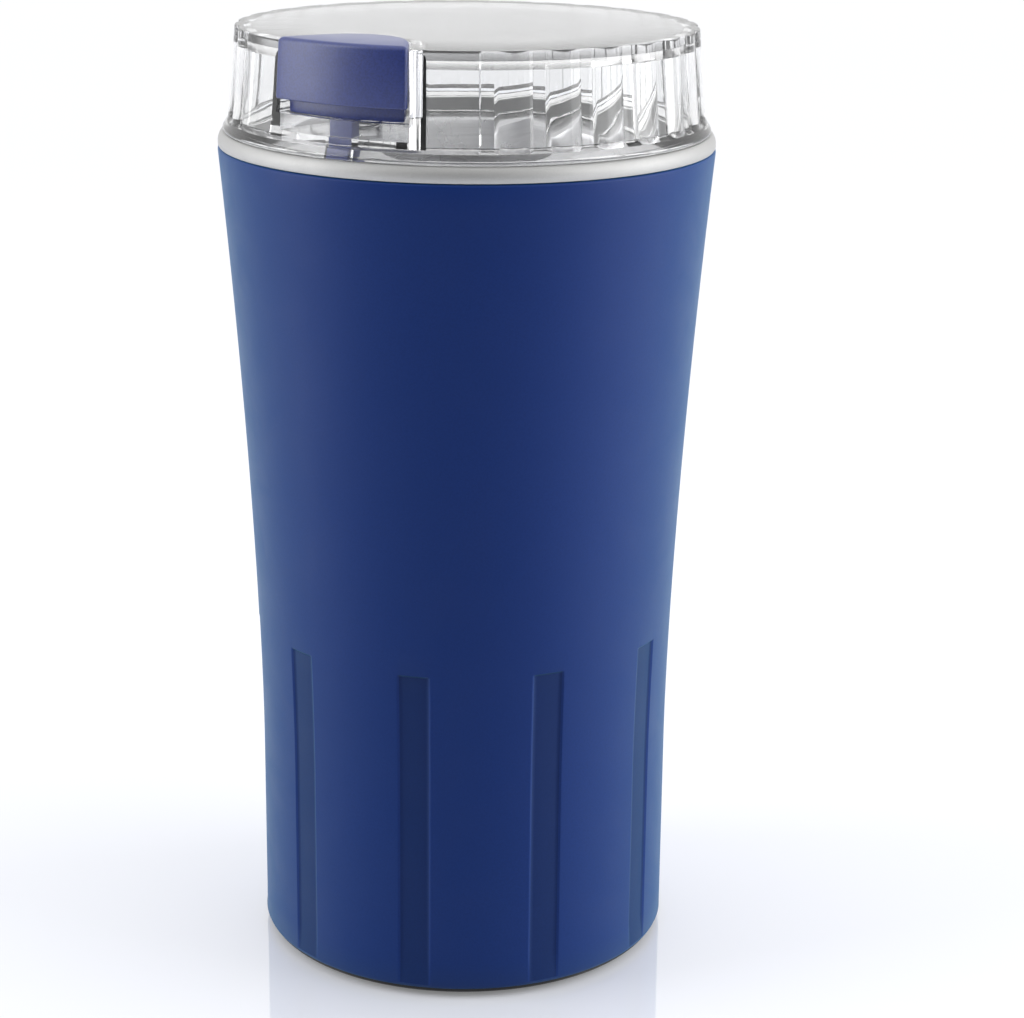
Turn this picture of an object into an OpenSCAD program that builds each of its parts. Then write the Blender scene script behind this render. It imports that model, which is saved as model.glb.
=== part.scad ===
// Electric spice grinder: a tapered casing with a steel bowl and a two-wing blade above a brushed
// motor, and a clear lid with a push button that works the switch through a rod.
// Millimetres, +Z up. The origin is on the surface, under the motor's axis.
// The button faces -Y and the cord inlet +Y, and angles are counted from the button.

/* [Casing] */
// Outside diameter at the casing's top edge
rim_d = 100; // [99:0.2:101]
// Outside diameter of the straight foot of the casing
base_d = 85.8; // [85.4:0.2:86.6]
// Height of the casing's top edge above the surface
casing_top = 168.5; // [167.5:0.5:169.5]
// Height where the straight foot ends and the flare starts
flare_z = 44; // [40:1:50]
// How late the flare opens, as a power
flare_power = 1.6; // [1.5:0.05:1.7]
// Wall thickness of the casing
casing_wall = 2.2; // [2:0.1:2.3]
// Number of recessed grip grooves around the foot
groove_count = 10; // [8:2:12]
// Width of a groove
groove_w = 6; // [4:0.5:7]
// Depth of a groove
groove_depth = 0.7; // [0.4:0.1:0.9]
// Height of the square top end of a groove
groove_top = 70; // [60:1:80]

/* [Base] */
// Height of the feet under the base cover
foot_h = 1; // [0.8:0.1:1.2]
// Diameter of a foot
foot_d = 10; // [8:0.5:11]
// Distance of the feet from the axis
foot_r = 33; // [31:0.5:33]
// Height of the cord inlet's centre
inlet_z = 17; // [17:0.5:20]
// Diameter of the bore for the cord
inlet_bore_d = 6.2; // [5.6:0.1:6.6]

/* [Lid] */
// Height of the lid's flat top
lid_top = 192.4; // [191.8:0.2:192.6]
// Outside radius of the flange that rests on the ring
flange_r = 48.9; // [48.6:0.1:49]
// Outside radius of the lid's wall just above the flange
wall_low_r = 47.9; // [47.6:0.1:48]
// Outside radius of the lid's wall under the rounded top edge
wall_high_r = 46.2; // [46:0.1:46.4]
// Thickness of the clear wall
lid_wall = 2.2; // [2:0.1:2.4]
// Angle from one flute of the wall to the next
flute_pitch = 12; // [12:6:18]
// Width of a flute
flute_w = 2.3; // [1.6:0.1:2.8]

/* [Button] */
// Width of the button across its front corners
button_w = 29.2; // [28.6:0.2:30]
// Top face of the button
button_top = 193.1; // [192.8:0.1:193.4]
// Lower edge of the button's outer block
button_low = 181.6; // [181.6:0.1:182.4]
// How far the button is pushed down
button_travel = 2.4; // [1.8:0.1:2.4]

/* [Bowl] */
// Inside radius of the steel bowl
bowl_r = 37; // [36.6:0.1:37]
// Inside floor of the bowl
bowl_floor = 115.4; // [115.4:0.2:116]
// Thickness of the steel
bowl_wall = 0.6; // [0.5:0.1:0.6]
// Radius swept by the blade's tips
blade_r = 29; // [26:0.5:31]

/* [Motor] */
// Radius of the motor shaft in its bearings
shaft_r = 4; // [4:0.1:4.2]
// Radius of the armature
armature_r = 16.7; // [16:0.1:16.8]
// Width across the flats of the stator
stator_w = 56; // [54:0.5:57]
// Lower face of the stator
stator_z = 50; // [50:0.5:51]
// Height of the stator's stack
stator_h = 28; // [27:0.5:28]

/* [Hidden] */
$fn = 96;
slack = 0.05;            // radial clearance of a running fit
over = 1;                // how far a cutter runs past a face
casing_z = foot_h + 0.8; // lower edge of the casing, on the base cover's rim
casing_step = (casing_top - flare_z) / 12;
ring_top = 171.7;        // top of the silver ring, under the lid's flange
flange_z = ring_top + 0.1;
flange_top = flange_z + 2;
lid_bend = 1.3;          // radius of the lid's top edge
plate_top = foot_h + 3;  // top of the base cover's plate
deck_z = bowl_floor - bowl_wall - 3;
deck_top = bowl_floor - bowl_wall;
cup_r = bowl_r + bowl_wall + 0.2;
cup_wall = 1.2;
post_r = 36.3;           // distance of the base screw posts from the axis
post_angles = [65, 115, 245, 295];
foot_angles = [45, 135, 225, 315];
arc_y = -42;             // centre of the round back of the button
corner_y = -45;          // and of its front corners
side_lean = 30;          // angle at which the button's sides close in towards its back
back_r = button_w / 2 * cos(side_lean) + (corner_y - arc_y) * sin(side_lean);
skirt_z = 168.9;         // lower edge of the lid's skirt inside the ring
skirt_inset = 0.6;       // how far the button's skirt stands inside its block
skirt_low = 178.9;
sill_z = skirt_low;      // top of the clear wall below the button
pocket_gap = 0.4;
pocket_wall = 3.1;
pocket_floor = 174;
pocket_floor_t = 1.4;
stem_w = 5;
stem_y = [-45.2, -42];
stem_low = 172.9;
stem_high = 187;
sill_r = 45.6;           // inside of the clear wall below the button
spring_y = -37.5;
rod_y = -40.9;
rod_r = 1.5;
rod_top = stem_low - 0.3;
rod_foot = 106;
rod_collar = 161;
guide_z = 146;
guide_top = 152;
switch_size = [20, 6.4, 10];
switch_y = -37.4;        // middle of the switch
switch_top = 101.5;
switch_hole_x = 4.8;
switch_hole_z = 94;
plunger_r = 1.1;
lead_r = 0.7;
stator_top = stator_z + stator_h;
coil_turn = 6;           // how far the windings stand out of the core
bracket_t = 3;
coil_x = [19, 25];       // field winding: inner and outer face
coil_y = [10.8, 15.2];   // and the slots that its sides fill
bolt_x = 5;              // places of the four long motor bolts
bolt_y = 24.5;
upper_plate = 95;
lower_plate = 17;
bearing_h = 7;
upper_bearing_z = 94;
lower_bearing_z = 14;
leg_y = [22, 28];        // inner and outer face of the motor brackets' legs
brush_z = 33;            // middle of the brushes and the commutator
brush_box = [17, 9, 10]; // outside of a brush holder
brush_size = [10, 6, 7];
clamp_x = 8;
clamp_y = 33.5;
clamp_h = 4.6;
brush_x = 11;            // inner end of a brush holder
commutator_r = 9;
mount_r = 21;
mount_angles = [45, 135, 225, 315];
mount_screw_r = 1.9;
seal_r = 6.1;            // radius of the hole in the bowl's floor
lip_r = 46;              // outer radius of the bowl's lip
lip_z = casing_top - 0.7;
tip_r = 3;               // radius of the shaft's upper end
hub_z = bowl_floor + 3;
hub_h = 3.2;
blade_z = hub_z + hub_h;
blade_t = 1.2;
nut_z = blade_z + blade_t;

steel = [0.72, 0.73, 0.75];
copper = [0.72, 0.42, 0.24];
blue = [0.1, 0.16, 0.42];
black = [0.08, 0.08, 0.09];

// ---- shared shapes ----

function unit(v) = v / norm(v);
function casing_r(z) =
    base_d / 2 + (rim_d - base_d) / 2 * pow(max(0, (z - flare_z) / (casing_top - flare_z)), flare_power);

// Outside radius of the lid's wall: a soft flare into the flange, then a slow taper
function lid_r(z) = let (t = (z - flange_top) / (lid_top - lid_bend - flange_top))
    wall_low_r + (wall_high_r - wall_low_r) * pow(max(0, min(1, t)), 0.75);

// Turns a shape that is drawn at the button's side (-Y) to each angle
module at_angles(angles) {
    for (a = angles)
        rotate([0, 0, a])
            children();
}

module tube(r_out, r_in, z0, z1) {
    rotate_extrude()
        translate([r_in, z0])
            square([r_out - r_in, z1 - z0]);
}

// Box centred on x and y, from z0 to z1
module block(w, y0, y1, z0, z1) {
    translate([-w / 2, y0, z0])
        cube([w, y1 - y0, z1 - z0]);
}

// Round wire along a path; side is a direction that no part of the path runs along
module wire(path, r, side, sides = 8) {
    last = len(path) - 1;
    rings = [for (i = [0:last])
        let (t = unit(path[min(i + 1, last)] - path[max(i - 1, 0)]))
        let (a = unit(cross(t, side)), b = cross(t, a))
        for (j = [0:sides - 1])
            path[i] + r * (cos(360 * j / sides) * a + sin(360 * j / sides) * b)];
    walls = [for (i = [0:last - 1], j = [0:sides - 1])
        let (k = (j + 1) % sides, a = i * sides, b = a + sides)
        each [[a + j, b + j, b + k], [a + j, b + k, a + k]]];
    ends = [[for (j = [0:sides - 1]) j], [for (j = [sides - 1:-1:0]) last * sides + j]];
    polyhedron(rings, concat(walls, ends), convexity = 10);
}

// Compression spring along +Z
module coil(r, wire_r, height, turns) {
    per_turn = 14;
    steps = turns * per_turn;
    rise = (height - 2 * wire_r) / steps;
    turn = 360 / per_turn;
    path = [for (i = [0:steps]) [r * cos(i * turn), r * sin(i * turn), wire_r + i * rise]];
    wire(path, wire_r, [0, 0, 1], 6);
}

// Pan head screw pointing up, its head's underside at z = 0
module screw(length, r = 1.5, head_r = 3) {
    difference() {
        union() {
            cylinder(r = r, h = length);
            translate([0, 0, -1.6])
                cylinder(r1 = head_r * 0.8, r2 = head_r, h = 0.5);
            translate([0, 0, -1.1])
                cylinder(r = head_r, h = 1.1);
        }
        for (a = [0, 90])
            rotate([0, 0, a])
                translate([-head_r * 0.6, -0.35, -2])
                    cube([head_r * 1.2, 0.7, 1.2]);
    }
}

// ---- casing and base ----

// Solid of the casing's outline, moved inwards by inset
module casing_outline(inset, z0, z1) {
    zs = concat([z0], [for (z = [flare_z:casing_step:casing_top - 0.1]) z], [casing_top, z1]);
    rotate_extrude()
        polygon(concat([[0, z0]], [for (z = zs) [casing_r(min(z, casing_top)) - inset, z]], [[0, z1]]));
}

module outer_casing() color(blue) {
    hem = 1;
    difference() {
        rotate_extrude()
            polygon(concat([[0, casing_z], [base_d / 2 - hem, casing_z],
                [base_d / 2 - hem * 0.3, casing_z + hem * 0.3], [base_d / 2, casing_z + hem]],
                [for (z = [flare_z:casing_step:casing_top - 0.1]) [casing_r(z), z]],
                [[rim_d / 2, casing_top], [0, casing_top]]));
        casing_outline(casing_wall, casing_z - over, casing_top + over);
        difference() {
            at_angles([for (i = [0:groove_count - 1]) (i + 0.5) * 360 / groove_count])
                block(groove_w, -rim_d / 2, -base_d / 2 + 3, casing_z - over, groove_top);
            casing_outline(groove_depth, 0, casing_top);
        }
        // Cord inlet with a flat face for the grommet
        translate([0, 0, inlet_z])
            rotate([-90, 0, 0]) {
                cylinder(r = 5, h = rim_d / 2);
                translate([0, 0, base_d / 2 - 0.6])
                    cylinder(r = 6.6, h = 10);
            }
    }
}

module base_cover() color(black) {
    spigot_r = base_d / 2 - casing_wall - 0.2;
    difference() {
        union() {
            rotate_extrude()
                polygon([[0, foot_h], [base_d / 2 - 1.2, foot_h], [base_d / 2 - 0.8, foot_h + 0.4],
                    [base_d / 2 - 0.8, casing_z], [spigot_r, casing_z], [spigot_r, 9], [spigot_r - 1.8, 9],
                    [spigot_r - 1.8, plate_top], [0, plate_top]]);
            // Saddle and bosses for the cord clamp
            for (x = [-clamp_x, clamp_x])
                translate([x, clamp_y, foot_h])
                    cylinder(r = 3, h = inlet_z - foot_h);
            block(2 * clamp_x, clamp_y - 2, clamp_y + 2, foot_h, inlet_z - inlet_bore_d / 2 + 0.3);
        }
        // Vent slots in two rings
        at_angles([0:15:345])
            block(2.4, -26.5, -17.5, foot_h - over, plate_top + over);
        at_angles([0:30:330])
            block(2.2, -14.5, -8, foot_h - over, plate_top + over);
        at_angles(foot_angles)
            translate([0, -foot_r, 0])
                cylinder(d = foot_d, h = foot_h + 1);
        at_angles(post_angles)
            translate([0, -post_r, 0]) {
                cylinder(r = 1.7, h = plate_top + over);
                cylinder(r = 3.3, h = foot_h + 2);
            }
        for (x = [-clamp_x, clamp_x])
            translate([x, clamp_y, plate_top])
                cylinder(r = 1.2, h = 20);
        // Room for the screw posts
        at_angles(post_angles)
            translate([0, -post_r, plate_top])
                cylinder(r = 3.4, h = 20);
    }
}

// Rubber foot in its recess, at an angle from the button
module foot(angle) color([0.13, 0.13, 0.14]) {
    at_angles([angle])
        translate([0, -foot_r, 0])
            rotate_extrude()
                polygon([[0, 0], [foot_d / 2 - 1, 0], [foot_d / 2 - 0.3, 0.4], [foot_d / 2, foot_h],
                    [foot_d / 2, foot_h + 1], [0, foot_h + 1]]);
}

module base_screws() color(steel) {
    at_angles(post_angles)
        translate([0, -post_r, foot_h + 2])
            screw(13);
}

module rim_ring() color([0.75, 0.76, 0.78]) {
    slot_w = 13;
    difference() {
        rotate_extrude()
            polygon([[46.2, casing_top], [46.6, casing_top], [46.6, casing_top - 3], [47.5, casing_top - 3],
                [47.5, casing_top], [rim_d / 2 - 0.1, casing_top], [rim_d / 2 - 0.1, casing_top + 1.4],
                [rim_d / 2 - 0.3, casing_top + 2.3], [rim_d / 2 - 0.75, casing_top + 2.9],
                [rim_d / 2 - 1.3, ring_top], [46.2, ring_top]]);
        // Shallow slots under the lid's flange: one at the stem and one that places the lid
        block(slot_w, -48.2, -45, ring_top - 2, ring_top + over);
        rotate([0, 0, 16])
            block(3.4, -48.2, -45, ring_top - 2, ring_top + over);
    }
}

// Rubber bush around the cord's way in
module cord_grommet() color(black) {
    face_y = base_d / 2 - 0.6;
    inner_y = 39.9;
    translate([0, 0, inlet_z])
        rotate([-90, 0, 0])
            rotate_extrude()
                polygon([[inlet_bore_d / 2, 38.2], [6.5, 38.2], [6.5, inner_y], [4.95, inner_y],
                    [4.95, face_y], [6.4, face_y], [6.4, face_y + 0.8], [5.7, face_y + 1.7],
                    [4.6, face_y + 3.3], [inlet_bore_d / 2, face_y + 3.3]]);
}

module cord_clamp() color(black) {
    difference() {
        block(23, clamp_y - 2.6, clamp_y + 2.6, inlet_z, inlet_z + clamp_h);
        for (x = [-clamp_x, clamp_x])
            translate([x, clamp_y, 0])
                cylinder(r = 1.2, h = 40);
        // Arch over the cord
        translate([0, 20, inlet_z])
            rotate([-90, 0, 0])
                cylinder(d = inlet_bore_d - 0.4, h = 20);
    }
}

module clamp_screws() color(steel) {
    for (x = [-clamp_x, clamp_x])
        translate([x, clamp_y, inlet_z + clamp_h])
            rotate([180, 0, 0])
                screw(10, 1.2, 2.3);
}

module terminal_block() color([0.85, 0.84, 0.78]) {
    difference() {
        block(26, 16.2, 25, plate_top, plate_top + 9);
        for (x = [-8, 0, 8])
            translate([x, 20.6, plate_top + 4]) {
                cylinder(r = 1.6, h = 10);
                rotate([90, 0, 0])
                    cylinder(r = 1.5, h = 20, center = true);
            }
    }
}

module suppressor() color([0.8, 0.66, 0.2]) {
    block(13, -36, -29.5, plate_top, plate_top + 11);
}

// ---- bowl ----

module bowl() color([0.8, 0.81, 0.83]) {
    bend = 9;
    out_r = bowl_r + bowl_wall;
    out_bend = bend + bowl_wall;
    low = bowl_floor - bowl_wall;
    outer_bend = [for (a = [0:15:90]) [out_r - out_bend * (1 - sin(a)), low + out_bend * (1 - cos(a))]];
    inner_bend = [for (a = [90:-15:0]) [bowl_r - bend * (1 - sin(a)), bowl_floor + bend * (1 - cos(a))]];
    lip = [[out_r, lip_z], [lip_r, lip_z], [lip_r, casing_top], [bowl_r + 0.4, casing_top],
        [bowl_r, casing_top - 0.4]];
    difference() {
        rotate_extrude()
            polygon(concat([[seal_r, low]], outer_bend, lip, inner_bend, [[seal_r, bowl_floor]]));
        // Hole in the lip for the switch rod
        translate([0, rod_y, lip_z - over])
            cylinder(r = rod_r + 0.5, h = 4);
    }
}

// Plastic frame: holds the bowl, hangs the motor and takes the base screws
module bowl_carrier() color([0.3, 0.31, 0.33]) {
    cup_out = cup_r + cup_wall;
    flange_low = 162.6;
    seat_top = 165;
    tab_y = switch_y + switch_size[1] / 2;
    difference() {
        union() {
            tube(cup_out, 7, deck_z, lip_z);
            tube(lip_r, cup_r - over, flange_low, lip_z);
            // Seat that wedges the frame in the casing's taper
            rotate_extrude()
                polygon([[lip_r - over, flange_low], [casing_r(flange_low) - casing_wall - slack, flange_low],
                    [casing_r(seat_top) - casing_wall - slack, seat_top], [lip_r - over, seat_top]]);
            at_angles(post_angles)
                translate([0, -post_r, plate_top])
                    cylinder(r = 3.2, h = deck_z - plate_top + 1);
            // Guide boss for the rod
            translate([0, rod_y, guide_z])
                cylinder(r = 3.2, h = guide_top - guide_z);
            // Tab that carries the switch
            block(24, tab_y, tab_y + 2, 90, deck_z + 1);
        }
        translate([0, 0, deck_top])
            cylinder(r = cup_r, h = 100);
        // Guide bores for the rod, and room for its spring
        translate([0, rod_y, guide_z - over])
            cylinder(r = rod_r + slack, h = 100);
        block(6.4, -lip_r, -cup_r - 0.6, guide_top, flange_low);
        at_angles(post_angles)
            translate([0, -post_r, 0])
                cylinder(r = 1.5, h = 18);
        at_angles(mount_angles)
            translate([0, -mount_r, deck_z - over]) {
                cylinder(r = mount_screw_r, h = 10);
                translate([0, 0, 2.2])
                    cylinder(r = 3.8, h = 10);
            }
        for (x = [-switch_hole_x, switch_hole_x])
            translate([x, 0, switch_hole_z])
                rotate([90, 0, 0])
                    cylinder(r = 1.2, h = 60);
    }
}

// Bush that keeps grounds out of the motor
module shaft_seal() color([0.85, 0.85, 0.83]) {
    rotate_extrude()
        polygon([[tip_r + slack, deck_z], [seal_r, deck_z], [seal_r, bowl_floor], [8.5, bowl_floor],
            [8.2, bowl_floor + 0.8], [5.6, bowl_floor + 0.9], [5, bowl_floor + 2.6],
            [tip_r + slack, bowl_floor + 2.6]]);
}

// ---- motor ----

module stator_core() color([0.5, 0.5, 0.52]) {
    translate([0, 0, stator_z])
        linear_extrude(stator_h)
            difference() {
                intersection() {
                    square(stator_w, center = true);
                    circle(r = stator_w * 0.6);
                }
                circle(r = armature_r + 0.5);
                square([18, 40], center = true);
                for (x = [-1, 1], y = [-1, 1])
                    translate([x * (coil_x[0] + coil_x[1]) / 2, y * (coil_y[0] + coil_y[1]) / 2])
                        square([coil_x[1] - coil_x[0], coil_y[1] - coil_y[0]], center = true);
                for (x = [-bolt_x, bolt_x], y = [-bolt_y, bolt_y])
                    translate([x, y])
                        circle(r = 1.6);
            }
}

// Field winding around one pole, at x > 0 for side = 1
module field_coil(side) color(copper) {
    wide = coil_y[1];
    low = stator_z - coil_turn;
    high = stator_top + coil_turn;
    mirror([side < 0 ? 1 : 0, 0, 0])
        translate([coil_x[0], 0, 0])
            difference() {
                translate([0, -wide, low])
                    cube([coil_x[1] - coil_x[0], 2 * wide, high - low]);
                translate([-over, -coil_y[0], stator_z])
                    cube([20, 2 * coil_y[0], stator_h]);
            }
}

module bearing(z) color([0.75, 0.6, 0.35]) {
    tube(8, shaft_r + slack, z, z + bearing_h);
}

// Holes of the four long motor bolts
module bolt_holes() {
    for (x = [-bolt_x, bolt_x], y = [-bolt_y, bolt_y])
        translate([x, y, 0])
            cylinder(r = 1.6, h = 120);
}

module upper_bracket() color([0.7, 0.71, 0.72]) {
    difference() {
        union() {
            tube(28, 8, upper_plate, upper_plate + bracket_t);
            tube(10.5, 8, upper_bearing_z, upper_bearing_z + bearing_h);
            for (side = [0, 180])
                rotate([0, 0, side])
                    block(16, leg_y[0], leg_y[1] - 1.2, stator_top, upper_plate);
        }
        bolt_holes();
        at_angles(mount_angles)
            translate([0, -mount_r, 0])
                cylinder(r = mount_screw_r, h = 120);
        for (x = [-18.5, 18.5])
            translate([x, 0, 0])
                cylinder(r = 5, h = 120);
    }
}

module lower_bracket() color([0.7, 0.71, 0.72]) {
    difference() {
        union() {
            block(58, -6, 6, lower_plate, lower_plate + bracket_t);
            block(16, -leg_y[1], leg_y[1], lower_plate, lower_plate + bracket_t);
            tube(10.5, 5, lower_bearing_z, lower_bearing_z + bearing_h);
            for (side = [0, 180])
                rotate([0, 0, side])
                    block(16, leg_y[0], leg_y[1], lower_plate, stator_z);
        }
        bolt_holes();
        translate([0, 0, lower_bearing_z])
            cylinder(r = 8, h = 20);
    }
}

module motor_mounts() color(black) {
    at_angles(mount_angles)
        translate([0, -mount_r, upper_plate + bracket_t])
            difference() {
                cylinder(r = 5.4, h = deck_z - upper_plate - bracket_t);
                translate([0, 0, -over])
                    cylinder(r = mount_screw_r, h = 40);
                translate([0, 0, 5.5])
                    rotate_extrude()
                        translate([5.4, 0])
                            square([2, 2.6], center = true);
            }
}

module mount_screws() color(steel) {
    at_angles(mount_angles)
        translate([0, -mount_r, deck_z + 1.2])
            rotate([180, 0, 0])
                screw(deck_z + 1.2 - upper_plate + 1, mount_screw_r, 3.6);
}

module bracket_screws() color(steel) {
    for (x = [-bolt_x, bolt_x], y = [-bolt_y, bolt_y])
        translate([x, y, upper_plate + bracket_t])
            rotate([180, 0, 0])
                screw(upper_plate + bracket_t - lower_plate, 1.6, 2.9);
}

module brush_holder(side) color([0.55, 0.42, 0.24]) {
    mirror([side < 0 ? 1 : 0, 0, 0])
        difference() {
            union() {
                translate([brush_x, -brush_box[1] / 2, brush_z - brush_box[2] / 2])
                    cube(brush_box);
                translate([brush_x + 6, -3, lower_plate + bracket_t])
                    cube([8, 6, brush_z - brush_box[2] / 2 - lower_plate - bracket_t]);
            }
            translate([brush_x - over, -brush_size[1] / 2, brush_z - brush_size[2] / 2])
                cube([brush_box[0], brush_size[1], brush_size[2]]);
        }
}

module carbon_brush(side) color([0.16, 0.16, 0.17]) {
    mirror([side < 0 ? 1 : 0, 0, 0])
        difference() {
            translate([commutator_r - 1, -brush_size[1] / 2, brush_z - brush_size[2] / 2])
                cube([brush_size[0] + 1, brush_size[1], brush_size[2]]);
            cylinder(r = commutator_r + 0.08, h = 100);
        }
}

module brush_spring(side) color(steel) {
    spring_x = commutator_r + brush_size[0];
    translate([side * spring_x, 0, brush_z])
        rotate([0, side * 90, 0])
            coil(2.2, 0.25, brush_x + brush_box[0] - over - spring_x, 5);
}

module thermal_cutout() color([0.9, 0.9, 0.86]) {
    translate([stator_w / 2, -4, stator_z + 8])
        cube([4, 8, 12]);
}

// ---- rotor ----

module drive_shaft() color(steel) {
    rotate_extrude()
        polygon([[0, 12.5], [shaft_r - 0.5, 12.5], [shaft_r, 13], [shaft_r, 103], [tip_r, 103],
            [tip_r, nut_z + 2.9], [tip_r - 0.4, nut_z + 3.2], [0, nut_z + 3.2]]);
}

// Slots of the armature, as a flat shape; reach is their outer end
module armature_slots(reach) {
    for (a = [0:30:330])
        rotate(a)
            translate([9, -1.2])
                square([reach - 9, 2.4]);
}

module armature_core() color([0.45, 0.45, 0.47]) {
    translate([0, 0, stator_z + 1])
        linear_extrude(stator_h - 2)
            difference() {
                circle(r = armature_r);
                circle(r = shaft_r);
                armature_slots(armature_r + over);
            }
}

module armature_windings() color(copper) {
    low = stator_z + 1;
    high = stator_top - 1;
    tube(15.2, 5, low - coil_turn, low);
    tube(15.2, 5, high, high + coil_turn);
    translate([0, 0, low])
        linear_extrude(high - low)
            armature_slots(15.2);
}

module commutator() color(copper) {
    difference() {
        union() {
            tube(commutator_r, shaft_r, brush_z - 5.5, brush_z + 5.5);
            tube(commutator_r + 1.2, shaft_r, brush_z + 5.5, brush_z + 7.5);
        }
        for (a = [0:30:330])
            rotate([0, 0, a])
                translate([commutator_r - 0.6, -0.25, 0])
                    cube([5, 0.5, 60]);
    }
}

module cooling_fan() color([0.2, 0.2, 0.22]) {
    fan_z = stator_top + coil_turn + 1.5;
    fan_r = 20.5;
    tube(7.5, shaft_r, fan_z, fan_z + 7);
    tube(fan_r, shaft_r, fan_z, fan_z + 1.2);
    for (a = [0:36:324])
        rotate([0, 0, a])
            translate([6.2, 0, fan_z + 0.6])
                rotate([0, 0, -14])
                    cube([fan_r - 7.2, 1.3, 6]);
}

module blade_hub() color(steel) {
    tube(5.2, tip_r, hub_z, hub_z + hub_h);
}

// Blade wing along +X: a flat root that bends up to a raised tip
module blade_wing() {
    rise = 5;
    knee = 0.62 * blade_r;
    intersection() {
        translate([0, 10, 0])
            rotate([90, 0, 0])
                linear_extrude(20)
                    polygon([[0, 0], [knee, 0], [blade_r - 4, rise], [blade_r, rise],
                        [blade_r, rise + blade_t], [blade_r - 4.2, rise + blade_t], [knee - 0.3, blade_t],
                        [0, blade_t]]);
        translate([0, 0, -over])
            linear_extrude(20)
                intersection() {
                    polygon([[0, -6.5], [9, -6.5], [blade_r - 3, -4.5], [blade_r, 0.5], [blade_r, 6],
                        [9, 6.5], [0, 6.5]]);
                    circle(r = blade_r);
                }
    }
}

module blade() color([0.82, 0.83, 0.85]) {
    translate([0, 0, blade_z])
        rotate([0, 0, 35])
            difference() {
                for (a = [0, 180])
                    rotate([0, 0, a])
                        blade_wing();
                translate([0, 0, -over])
                    cylinder(r = tip_r, h = 10);
            }
}

module blade_nut() color(steel) {
    hex_h = 2.8;
    dome = [for (a = [0:18:90]) [4.3 * cos(a), nut_z + hex_h + 1.6 * sin(a)]];
    difference() {
        union() {
            translate([0, 0, nut_z])
                cylinder(r = 5.2, h = hex_h, $fn = 6);
            rotate_extrude()
                polygon(concat([[0, nut_z + 2]], dome));
        }
        translate([0, 0, nut_z - over])
            cylinder(r = tip_r, h = 3.2 + over);
    }
}

// ---- switch ----

module micro_switch() color(black) {
    low = switch_top - switch_size[2];
    difference() {
        union() {
            translate([-switch_size[0] / 2, switch_y - switch_size[1] / 2, low])
                cube(switch_size);
            for (x = [-7, 0, 7])
                translate([x - 1.4, switch_y - 0.3, low - 3.5])
                    cube([2.8, 0.6, 4]);
        }
        translate([0, switch_y, low + 2.5])
            cylinder(r = plunger_r + slack, h = 20);
        for (x = [-switch_hole_x, switch_hole_x])
            translate([x, 0, switch_hole_z])
                rotate([90, 0, 0])
                    cylinder(r = 1.2, h = 60);
    }
}

module switch_screws() color(steel) {
    for (x = [-switch_hole_x, switch_hole_x])
        translate([x, switch_y + switch_size[1] / 2 + 2, switch_hole_z])
            rotate([90, 0, 0])
                screw(7.6, 1.2, 2.2);
}

// Leads run inside the casing: two from the terminal block up to the switch, one to the left brush
module switch_leads() color([0.75, 0.12, 0.1]) {
    side_r = 38.2;
    round_r = 40.6;
    tab_end = switch_top - switch_size[2] - 3.5;
    for (i = [0, 1]) {
        tab_x = 7 - 7 * i;
        side_y = 3.2 - 3.2 * i;
        up = [[8 - 8 * i, 19, 8], [8 - 8 * i, 14.6, 8], [12 - 5 * i, 12.5, 8 + 2 * i], [29, 5, 9 + 2.4 * i],
            [side_r - 1.4, side_y, 13 + 2 * i], [side_r, side_y, 22], [side_r, side_y, 76 - 3 * i]];
        around = [for (a = [84:-8:20]) [round_r * sin(a), -round_r * cos(a), 86 - 2.6 * i]];
        end = [[9.6 - 7 * i, -38.6, 85.8 - 2.4 * i], [tab_x, switch_y, 86.6], [tab_x, switch_y, tab_end]];
        wire(concat(up, around, end), lead_r, [1, -1, 0.5]);
    }
}

module motor_leads() color([0.1, 0.2, 0.6]) {
    out_x = brush_x + brush_box[0];
    wire([[-8, 19, 8], [-8, 14.6, 8], [-13, 11, 9], [-24, 10, 12], [-32, 6, 17], [-33.6, 2, 24],
        [-33, 0, 30], [-31.4, 0, 32.6], [-out_x - 1.6, 0, brush_z], [-out_x, 0, brush_z]],
        lead_r, [0, 1, 0.1]);
}

module rod_spring() color(steel) {
    translate([0, rod_y, guide_top])
        coil(1.85, 0.2, rod_collar - guide_top, 7);
}

module switch_rod() color([0.86, 0.86, 0.84]) {
    head = 1.4;
    pad = 1.6;
    translate([0, rod_y, rod_foot])
        cylinder(r = rod_r, h = rod_top - rod_foot);
    block(4.6, stem_y[0], rod_y + rod_r, rod_top - head, rod_top);
    block(4, rod_y - 1.4, switch_y + 1.4, rod_foot, rod_foot + pad);
    translate([0, rod_y, rod_collar])
        cylinder(r = 2.1, h = 1.3);
}

module switch_plunger() color([0.8, 0.2, 0.15]) {
    low = switch_top - switch_size[2] + 2.5 + button_travel + 0.4;
    translate([0, switch_y, low])
        cylinder(r = plunger_r, h = rod_foot - low);
}

// ---- lid and button ----

module lid_outline() {
    top_r = wall_high_r - lid_bend;
    wall_h = lid_top - lid_bend - flange_top;
    flange = [[flange_r - 0.3, flange_z], [flange_r, flange_z + 0.3], [flange_r, flange_top - 0.4],
        [flange_r - 0.5, flange_top]];
    wall = [for (t = [0:0.2:0.99]) [lid_r(flange_top + t * wall_h), flange_top + t * wall_h]];
    edge = [for (a = [0:15:90]) [top_r + lid_bend * cos(a), flange_top + wall_h + lid_bend * sin(a)]];
    rotate_extrude()
        polygon(concat([[0, flange_z]], flange, wall, edge, [[0, lid_top]]));
}

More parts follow.
